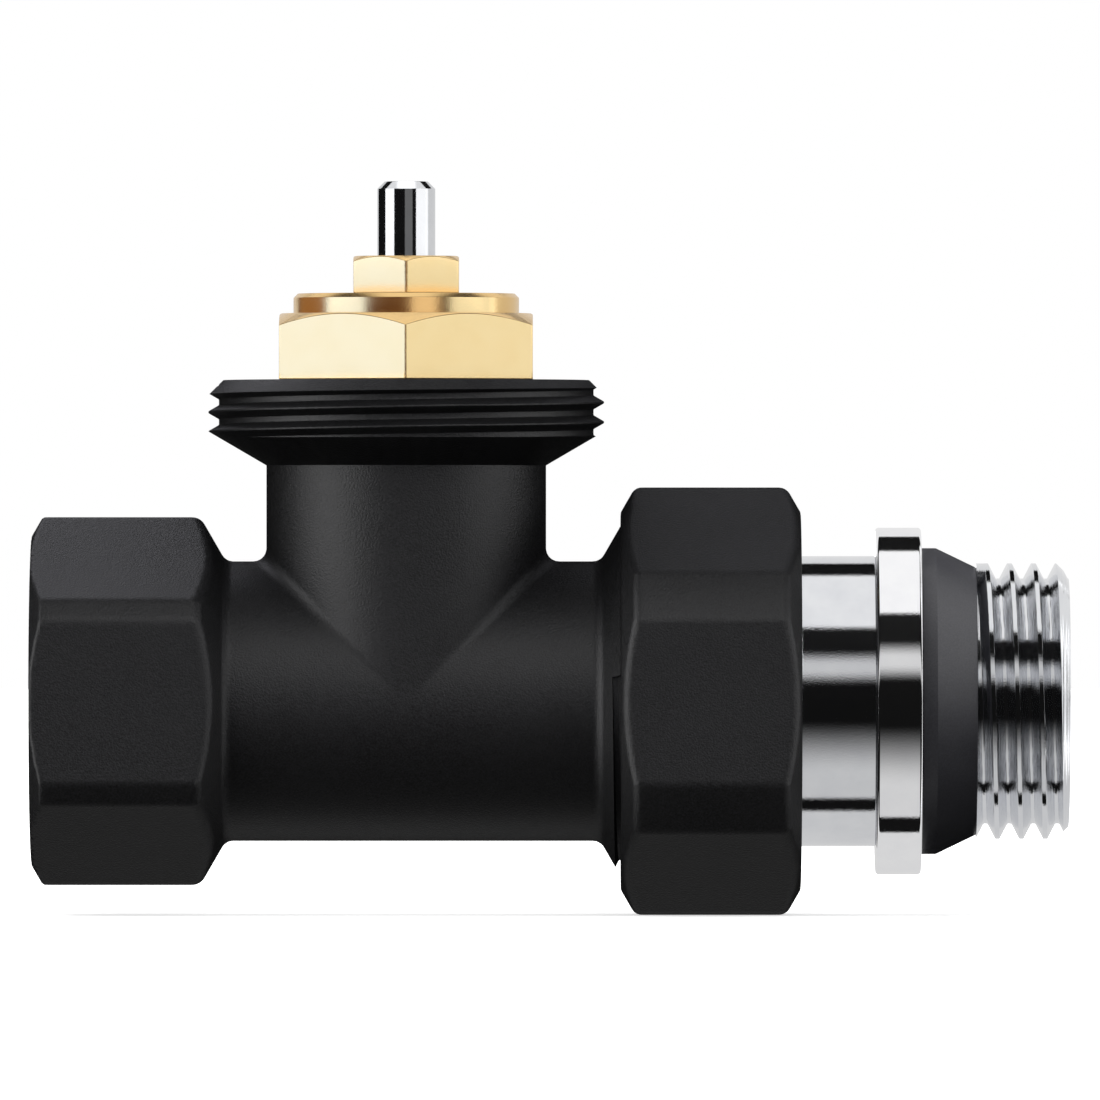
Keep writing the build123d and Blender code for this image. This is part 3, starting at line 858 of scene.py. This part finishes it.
def tailpiece():
    """Nose, nut flange, tube, ring seat and the G 1/2 radiator thread."""
    root, crest = TAIL_THREAD
    start, end = TAIL_LOW[0], TAIL_HIGH[0]
    front = SEAL_HIGH[0]
    groove_start, groove_end, groove_radius = NOSE_GROOVE
    outline = rounded(
        [
            (start, 0), (start, NOSE_RADIUS - 0.5), (start + 0.5, NOSE_RADIUS),
            (groove_start, NOSE_RADIUS), (groove_start, groove_radius),
            (groove_end, groove_radius), (groove_end, NOSE_RADIUS), (BOSS_END_X, NOSE_RADIUS),
            (BOSS_END_X, TAIL_HIGH[1]), (NUT_WALL_X, TAIL_HIGH[1]), (NUT_WALL_X, TUBE_RADIUS),
            (RING_LOW[0], TUBE_RADIUS), (RING_LOW[0], RING_SEAT_RADIUS),
            (RING_HIGH[0], RING_SEAT_RADIUS), (RING_HIGH[0], SEAL_SEAT_RADIUS),
            (front + 1, SEAL_SEAT_RADIUS), (front + 1, 0),
        ],
        [0, 0.15, 0.15, 0.1, 0, 0, 0.1, 0, 0.2, 0.2, 0.2, 0.1, 0, 0, 0, 0, 0],
    )
    tail = turned("tail", outline)
    blank = rounded(
        [
            (front, 8.5), (front, crest), (end - TAIL_BEVEL, crest), (end, crest - TAIL_BEVEL),
            (end, 7.2), (end - 0.6, 6.0), (end - 0.6, 5.5), (front, 5.5),
        ],
        [0, 0, 0.05, 0.1, 0.05, 0, 0, 0],
    )
    thread = thread_outline(
        PIPE_PITCH, root, crest,
        crest_flat=0.33, flank=PIPE_FLANK, crest_arc=0.04, root_arc=0.18, steps=4,
    )
    rod = threaded_rod("tail_thread", thread, PIPE_PITCH, TAIL_CREST_X - 2 * PIPE_PITCH, end + 1)
    threaded = common(turned("thread_blank", blank), rod)
    under, over, wide = 8.8, crest - 0.005, 0.8
    land = [(0.0, under), (0.0, over), (wide, over), (wide, under)]
    join(threaded, helical_bar("thread_start", land, 0.0, front, -0.9, pi / 2 + 0.35))
    join(tail, threaded)
    cut(tail, turned("bore", bar_outline(start - 1, end + 1, TAIL_BORE_RADIUS)))
    flats, key_end = TAIL_KEY
    corner = flats / sqrt(3)
    turns = [k * pi / 3 + pi / 6 for k in range(6)]
    key = [(corner * cos(turn), corner * sin(turn)) for turn in turns]
    cut(tail, prism("key", key, start - 1, key_end))
    return crisp(tail)


def stop_ring():
    low, high = RING_LOW[0], RING_HIGH[0]
    inner, outer = RING_SEAT_RADIUS, RING_RADIUS
    section = [(low, inner), (low, outer), (high, outer), (high, inner)]
    return crisp(turned("ring", rounded(section, [0.05, 0.25, 0.25, 0.2], 6)))


def cone_seal():
    low, high = SEAL_LOW[0], SEAL_HIGH[0]
    back, cone = low + 0.03, low + 1.14
    inner, outer, tip = SEAL_SEAT_RADIUS, SEAL_RADIUS, SEAL_TIP_RADIUS
    section = [(back, inner), (back, outer), (cone, outer), (high, tip), (high, inner)]
    return crisp(turned("seal", rounded(section, [0.05, 0.08, 0.12, 0.12, 0.05])))


def return_spring():
    """Round-wire spring between the guide and the spring plate."""
    low, high = corners("return_spring")
    wire = SPRING_WIRE_RADIUS
    mean = high[1] - wire
    section = [(wire * sin(t), mean + wire * cos(t)) for t in np.arange(12) * pi / 6]
    pitch = (high[2] - low[2] - 2 * wire) / SPRING_TURNS
    turns = SPRING_TURNS * 2 * pi
    return helical_bar("spring", section, pitch, low[2] + wire, 0, turns, about_stem, 60)


# ---- Materials ----

class Tree:
    """Short names for building a node tree."""

    def __init__(self, tree):
        self.tree = tree
        self.tree.nodes.clear()

    def node(self, kind, **settings):
        node = self.tree.nodes.new("ShaderNode" + kind)
        for key, value in settings.items():
            setattr(node, key, value)
        return node

    def link(self, source, target):
        self.tree.links.new(source, target)

    def feed(self, socket, value):
        if isinstance(value, bpy.types.NodeSocket):
            self.link(value, socket)
        else:
            socket.default_value = value

    def math(self, operation, a, b=0.0):
        node = self.node("Math", operation=operation)
        self.feed(node.inputs[0], a)
        self.feed(node.inputs[1], b)
        return node.outputs[0]

    def times(self, a, b):
        return self.math("MULTIPLY", a, b)

    def ramp(self, value, low, high, to_low=0.0, to_high=1.0, smooth=False):
        kind = "SMOOTHSTEP" if smooth else "LINEAR"
        node = self.node("MapRange", interpolation_type=kind)
        self.feed(node.inputs["Value"], value)
        node.inputs["From Min"].default_value = low
        node.inputs["From Max"].default_value = high
        node.inputs["To Min"].default_value = to_low
        node.inputs["To Max"].default_value = to_high
        return node.outputs["Result"]

    def noise(self, vector, size, detail=2.0, roughness=0.5):
        """Noise whose features are about size millimetres across."""
        node = self.node("TexNoise")
        self.link(vector, node.inputs["Vector"])
        node.inputs["Scale"].default_value = 1 / (size * MM)
        node.inputs["Detail"].default_value = detail
        node.inputs["Roughness"].default_value = roughness
        return node.outputs["Fac"]

    def mix(self, factor, a, b):
        node = self.node("Mix", data_type="RGBA")
        self.feed(node.inputs["Factor"], factor)
        self.feed(node.inputs["A"], a)
        self.feed(node.inputs["B"], b)
        return node.outputs["Result"]

    def either(self, factor, first, second):
        """The first shader where factor is 0 and the second where it is 1."""
        node = self.node("MixShader")
        for socket, source in zip(node.inputs, (factor, first, second)):
            self.link(source, socket)
        return node.outputs[0]

    def bump(self, height, depth, strength=1.0, normal=None):
        """Bump of a depth in millimetres."""
        node = self.node("Bump")
        node.inputs["Strength"].default_value = strength
        node.inputs["Distance"].default_value = depth * MM
        self.link(height, node.inputs["Height"])
        if normal is not None:
            self.link(normal, node.inputs["Normal"])
        return node.outputs["Normal"]


def rgb(r, g, b):
    return (r, g, b, 1.0)


def new_material(name):
    material = bpy.data.materials.new(name)
    material.use_nodes = True
    tree = Tree(material.node_tree)
    shader = tree.node("BsdfPrincipled")
    output = tree.node("OutputMaterial")
    tree.link(shader.outputs[0], output.inputs["Surface"])
    place = tree.node("TexCoord").outputs["Object"]
    return material, tree, shader, place


def powder_coat():
    """Nearly black, with a fine grain that the coat's own lights catch."""
    material, tree, shader, place = new_material("black_powder_coat")
    grain = tree.noise(place, 0.14, 2.0, 0.6)
    orange_peel = tree.noise(place, 1.6, 2.0)
    cloud = tree.noise(place, 9.0, 3.0)
    dark, light = rgb(0.0005, 0.0005, 0.0006), rgb(0.0095, 0.0095, 0.0105)
    tone = tree.mix(tree.ramp(grain, 0.3, 0.7), dark, light)
    haze = tree.times(tree.ramp(cloud, 0.35, 0.7), 0.35)
    tone = tree.mix(haze, tone, rgb(0.010, 0.010, 0.011))
    # Painted highlight: convex edges are lightened a little, standing in for the light catching
    # them.
    edges = tree.node("NewGeometry").outputs["Pointiness"]
    edge_highlight = tree.times(tree.ramp(edges, 0.53, 0.60, smooth=True), 0.2)
    tone = tree.mix(edge_highlight, tone, rgb(0.016, 0.016, 0.017))
    tree.link(tone, shader.inputs["Base Color"])
    tree.link(tree.ramp(grain, 0.25, 0.75, 0.36, 0.52), shader.inputs["Roughness"])
    shader.inputs["Specular IOR Level"].default_value = 0.06
    peel = tree.bump(orange_peel, 0.012, 0.6)
    tree.link(tree.bump(grain, 0.045, 1.0, peel), shader.inputs["Normal"])
    return material


def metal(name, light, dark, rough, line, depth, upright, grain_depth, spots=0.0, thread_x=None):
    """Turned metal: faint rings about its axis, a little uneven in tone and gloss.

    line and depth are the width and depth of the rings in millimetres. upright says that the axis
    is the insert's. spots roughens some clouds. The rings are nearly flat before thread_x."""
    material, tree, shader, place = new_material(name)
    parts = tree.node("SeparateXYZ")
    tree.link(place, parts.inputs[0])
    x, y, z = parts.outputs
    if upright:
        across, along = tree.math("SUBTRACT", x, HEAD_X * MM), z
    else:
        across, along = z, x
    square = tree.math("ADD", tree.times(across, across), tree.times(y, y))
    radius = tree.math("SQRT", square)
    rings = tree.node("CombineXYZ")
    tree.link(radius, rings.inputs[0])
    tree.link(along, rings.inputs[1])
    lines = tree.noise(rings.outputs[0], line, 3.0, 0.6)
    cloud = tree.noise(place, 2.2, 3.0)
    tone = tree.mix(tree.ramp(cloud, 0.3, 0.75), rgb(*light), rgb(*dark))
    tree.link(tone, shader.inputs["Base Color"])
    ring_gloss = tree.ramp(lines, 0.3, 0.7, rough[0], rough[1])
    gloss = tree.math("ADD", ring_gloss, tree.ramp(cloud, 0.4, 0.8, 0.0, spots))
    tree.link(gloss, shader.inputs["Roughness"])
    shader.inputs["Metallic"].default_value = 1.0
    if thread_x is not None:
        deep = tree.ramp(along, (thread_x - 0.1) * MM, thread_x * MM, 0.008, 1.0)
        lines = tree.times(lines, deep)
    grain = tree.bump(tree.noise(place, 0.14, 2.0, 0.7), grain_depth, 1.0)
    tree.link(tree.bump(lines, depth, 0.5, grain), shader.inputs["Normal"])
    return material


def rubber(name, tone, rough):
    material, tree, shader, place = new_material(name)
    grain = tree.noise(place, 0.12, 3.0, 0.7)
    cloud = tree.noise(place, 3.0, 2.0)
    low, high = [c * 0.8 for c in tone], [c * 1.35 for c in tone]
    mixed = tree.mix(tree.ramp(grain, 0.3, 0.7), rgb(*low), rgb(*high))
    tree.link(mixed, shader.inputs["Base Color"])
    tree.link(tree.ramp(cloud, 0.3, 0.7, rough - 0.06, rough + 0.06), shader.inputs["Roughness"])
    tree.link(tree.bump(grain, 0.006, 0.5), shader.inputs["Normal"])
    shader.inputs["Specular IOR Level"].default_value = 0.4
    return material


def plastic():
    material, tree, shader, place = new_material("white_plastic")
    cloud = tree.noise(place, 0.8, 3.0)
    tone = tree.mix(cloud, rgb(0.72, 0.72, 0.69), rgb(0.84, 0.84, 0.81))
    tree.link(tone, shader.inputs["Base Color"])
    tree.link(tree.ramp(cloud, 0.3, 0.7, 0.38, 0.5), shader.inputs["Roughness"])
    tree.link(tree.bump(cloud, 0.004, 0.4), shader.inputs["Normal"])
    return material


MATERIALS = {
    "black_coat": powder_coat(),
    "brass": metal(
        "satin_brass", (0.86, 0.58, 0.25), (0.85, 0.565, 0.235), (0.17, 0.23),
        line=0.06, depth=0.0012, upright=True, grain_depth=0.0060, spots=0.03,
    ),
    "bright_steel": metal(
        "ground_steel", (0.80, 0.81, 0.83), (0.72, 0.73, 0.75), (0.05, 0.10),
        line=0.05, depth=0.0006, upright=True, grain_depth=0.0010,
    ),
    "chrome": metal(
        "bright_chrome", (0.80, 0.81, 0.83), (0.74, 0.75, 0.78), (0.03, 0.06),
        line=0.22, depth=0.08, upright=False, grain_depth=0.0040, thread_x=SEAL_HIGH[0],
    ),
    "ring_chrome": metal(
        "ring_chrome", (0.98, 0.98, 0.99), (0.93, 0.93, 0.95), (0.03, 0.06),
        line=0.08, depth=0.0004, upright=False, grain_depth=0.0020,
    ),
    "seal_rubber": rubber("seal_rubber", (0.034, 0.034, 0.040), 0.46),
    "o_ring_rubber": rubber("o_ring_rubber", (0.018, 0.018, 0.018), 0.38),
    "white_plastic": plastic(),
}

PIECES = (
    (valve_body, "valve", "black_coat"),
    (union_nut, "nut", "black_coat"),
    (insert_housing, "valve", "brass"),
    (gland_nut, "valve", "brass"),
    (push_pin, "stem", "bright_steel"),
    (return_spring, "valve", "bright_steel"),
    (tailpiece, "tail", "chrome"),
    (stop_ring, "tail", "chrome"),
    (cone_seal, "tail", "seal_rubber"),
)

shown = {}
for build, body, slot in PIECES:
    made = build()
    made.name = "visual_" + build.__name__
    made.data.materials.clear()
    made.data.materials.append(MATERIALS["ring_chrome" if build is stop_ring else slot])
    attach(made, body)
    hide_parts(build.__name__)
    shown[build.__name__] = made

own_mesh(shown["return_spring"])

slot_of = {part["node"]: part["material_slot"] for part in frame["record"]["subparts"]}
for node, obj in frame["nodes"].items():
    if node not in shown:
        obj.data.materials.clear()
        obj.data.materials.append(MATERIALS[slot_of[node]])
        shown[node] = obj


# ---- Stage, light and camera ----

def floor():
    """Plain pale floor, which can't be seen from below."""
    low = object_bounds()[0][2]
    size = 3.0
    mesh = bpy.data.meshes.new("floor")
    sides = [(-size, -size, 0), (size, -size, 0), (size, size, 0), (-size, size, 0)]
    mesh.from_pydata(sides, [], [(0, 1, 2, 3)])
    obj = bpy.data.objects.new("floor", mesh)
    obj.location = (0, 0, low)
    bpy.context.scene.collection.objects.link(obj)
    material, tree, shader, place = new_material("pale_floor")
    cloud = tree.noise(place, 60.0, 2.0)
    tone = tree.mix(cloud, rgb(0.80, 0.80, 0.80), rgb(0.83, 0.83, 0.83))
    tree.link(tone, shader.inputs["Base Color"])
    shader.inputs["Roughness"].default_value = 0.9
    shader.inputs["Specular IOR Level"].default_value = 0.0
    shader.inputs["Emission Color"].default_value = rgb(1, 1, 1)
    shader.inputs["Emission Strength"].default_value = 0.55
    surface = shader.outputs[0].links[0].to_socket
    behind = tree.node("NewGeometry").outputs["Backfacing"]
    clear = tree.node("BsdfTransparent").outputs[0]
    tree.link(tree.either(behind, shader.outputs[0], clear), surface)
    mesh.materials.append(material)
    obj.visible_glossy = False
    obj.visible_diffuse = False
    obj.visible_shadow = False
    obj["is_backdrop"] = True


def degrees_window(tree, value, low, high, soft):
    """1 between two angles in degrees, falling off over soft degrees at each."""
    low, high, soft = radians(low), radians(high), radians(soft)
    rise = tree.ramp(value, low - soft, low + soft, smooth=True)
    fall = tree.ramp(value, high - soft, high + soft, 1.0, 0.0, smooth=True)
    return tree.times(rise, fall)


def world():
    """White behind, soft light from above, and a dark camera side with three pale bands."""
    around = bpy.data.worlds.new("studio")
    bpy.context.scene.world = around
    around.use_nodes = True
    tree = Tree(around.node_tree)
    parts = tree.node("SeparateXYZ")
    tree.link(tree.node("TexCoord").outputs["Generated"], parts.inputs[0])
    x, y, z = parts.outputs
    pitch = tree.math("ARCTAN2", z, tree.times(y, -1.0))
    ahead = tree.ramp(tree.math("ABSOLUTE", x), 0.20, 0.40, 1.0, 0.0, smooth=True)
    below = tree.times(
        tree.ramp(pitch, radians(-84.5), radians(-82.5), smooth=True),
        tree.ramp(pitch, radians(-60), radians(-14), 0.64, 0.0, smooth=True),
    )
    overhead = tree.times(degrees_window(tree, pitch, 61, 120, 1.5), 0.95)
    bands = (
        tree.times(overhead, ahead),
        tree.times(degrees_window(tree, pitch, 19, 35.5, 6), 0.66),
        tree.times(below, ahead),
    )
    glow = 0.006
    for band in bands:
        glow = tree.math("MAXIMUM", band, glow)

    def background(strength):
        node = tree.node("Background")
        node.inputs["Color"].default_value = rgb(1, 1, 1)
        tree.feed(node.inputs["Strength"], strength)
        return node.outputs[0]

    path = tree.node("LightPath")
    soft = background(tree.ramp(z, 0.0, 1.0, 0.12, 2.7))
    light = tree.either(path.outputs["Is Glossy Ray"], soft, background(glow))
    light = tree.either(path.outputs["Is Camera Ray"], light, background(1.0))
    tree.link(light, tree.node("OutputWorld").inputs[0])


WHITE = (1.0, 1.0, 1.0)
COOL = (1.0, 1.0, 1.08)


def card(
    name, azimuth, elevation, width, height, strength, slots,
    tint=WHITE, distance=2.0, at=HEAD_X * MM,
):
    """Soft box that lights only the pieces of some material slots.

    azimuth runs from the camera side towards +X. width and height are angles in degrees. distance
    and at, the place along the run that the card faces, are in metres."""
    light = bpy.data.lights.new(name, "AREA")
    light.shape = "RECTANGLE"
    light.size = 2 * distance * tan(radians(width / 2))
    light.size_y = 2 * distance * tan(radians(height / 2))
    light.energy = strength * pi * light.size * light.size_y
    light.color = tint
    obj = bpy.data.objects.new(name, light)
    around, up = radians(azimuth), radians(elevation)
    away = Vector((sin(around) * cos(up), -cos(around) * cos(up), sin(up)))
    obj.location = Vector((at, 0, 0)) + away * distance
    obj.rotation_euler = away.to_track_quat("Z", "Y").to_euler()
    obj.visible_camera = False
    obj.visible_diffuse = False
    bpy.context.scene.collection.objects.link(obj)
    lit = bpy.data.collections.new(name + "_lit")
    for node, piece in shown.items():
        if slot_of[node] in slots:
            lit.objects.link(piece)
    obj.light_linking.receiver_collection = lit


def studio():
    world()
    chrome, steel, brass = ("chrome",), ("bright_steel",), ("brass",)
    head = steel + brass
    coat, seal = ("black_coat",), ("seal_rubber",)
    card("tail_back_top", 203, 20, 104, 40, 0.80, chrome)
    card("tail_back_below", 180, -41, 150, 83, 0.68, chrome)
    card("tail_right", 97, 0, 20, 100, 0.95, chrome)
    card("tail_right_back", 124, 28, 44, 50, 0.85, chrome)
    card("pin_left", -70, 0, 42, 70, 1.35, steel)
    card("pin_right", 69, 0, 58, 70, 1.20, steel)
    card("pin_front", 10, 0, 30, 50, 0.15, steel)
    card("brass_left", -66, 0, 48, 70, 1.12, brass, tint=(1.0, 1.37, 2.4))
    card("brass_right", 75, 0, 58, 70, 1.02, brass, tint=(1.0, 1.18, 1.5))
    card("brass_glow", 0, 0, 80, 60, 0.10, brass, tint=(1.0, 0.35, 0.02))
    card("brass_far_left", -116, 0, 48, 60, 0.32, brass, tint=(1.0, 0.55, 0.25))
    card("brass_front", 19, 0, 28, 50, 0.86, brass)
    card("head_right_back", 140, 0, 84, 60, 0.72, head)
    card("head_left_back", -162, 0, 34, 60, 0.72, head)
    card("pin_top", 180, 90, 100, 60, 0.9, steel)
    card("head_top_back", 180, 48, 90, 26, 0.9, brass)
    card("coat_left", -66, 5, 48, 70, 17.5, coat)
    card("coat_right", 75, 5, 58, 60, 9.0, coat)
    card("coat_spot", 17, 38, 30, 30, 22.0, coat)
    card("coat_front", 0, 5, 24, 12, 10.0, coat, COOL)
    card("coat_below", 180, -60, 80, 50, 0.85, coat)
    card("coat_top", 180, 60, 36, 36, 3.9, coat, COOL, distance=0.13, at=-0.025)
    card("coat_top_nut", 180, 60, 36, 36, 0.95, coat, COOL, distance=0.13, at=0.083)
    card("seal_right", 74, 34, 60, 80, 1.7, seal)


def camera():
    """Long lens square to the run, level with the middle of the valve."""
    low, high = corners_of(cad_box)
    frame_width, middle_z = 83.4 * MM, 11.46 * MM
    lens, sensor = 800.0, 36.0
    data = bpy.data.cameras.new("camera")
    data.lens, data.sensor_width = lens, sensor
    data.clip_start, data.clip_end = 0.1, 20.0
    distance = frame_width * lens / sensor
    obj = bpy.data.objects.new("camera", data)
    obj.location = ((low[0] + high[0]) / 2, -distance, middle_z)
    obj.rotation_euler = (pi / 2, 0, 0)
    bpy.context.scene.collection.objects.link(obj)
    bpy.context.scene.camera = obj


def corners_of(box):
    return [list(corner) for corner in box]


floor()
studio()
camera()
bpy.context.scene.view_settings.view_transform = "Standard"
